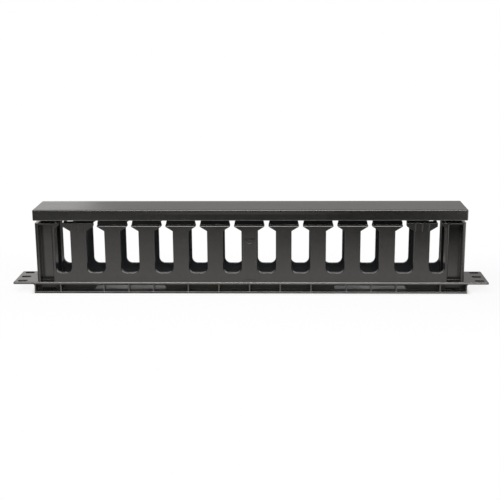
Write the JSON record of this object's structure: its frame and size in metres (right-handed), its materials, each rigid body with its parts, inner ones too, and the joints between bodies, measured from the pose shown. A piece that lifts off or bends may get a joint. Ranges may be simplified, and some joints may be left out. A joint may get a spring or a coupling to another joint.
{
  "type": "horizontal cable manager",
  "caption": "Rack-mount cable duct with slotted finger walls, open ends, slotted mounting ears and a lift-off cover.",
  "frame": {"origin": "middle of the rail's resting face, at the back of the duct", "axes": "+X along the duct, +Y up the rack when mounted, +Z out of the rack, from the rail to the cover"},
  "size_m": [0.4826, 0.0468, 0.0868],
  "materials": {
    "duct_plastic": "black moulded plastic with a fine satin texture",
    "cover_plastic": "black moulded plastic with a fine satin texture"
  },
  "bodies": {
    "duct": {"finger_duct_base": "duct_plastic"},
    "cover": {"duct_cover": "cover_plastic"}
  },
  "joints": [
    {"name": "cover_lift", "type": "slide", "parent": "duct", "child": "cover", "axis": [0, 0, 1], "range_m": [0, 0.04]}
  ]
}
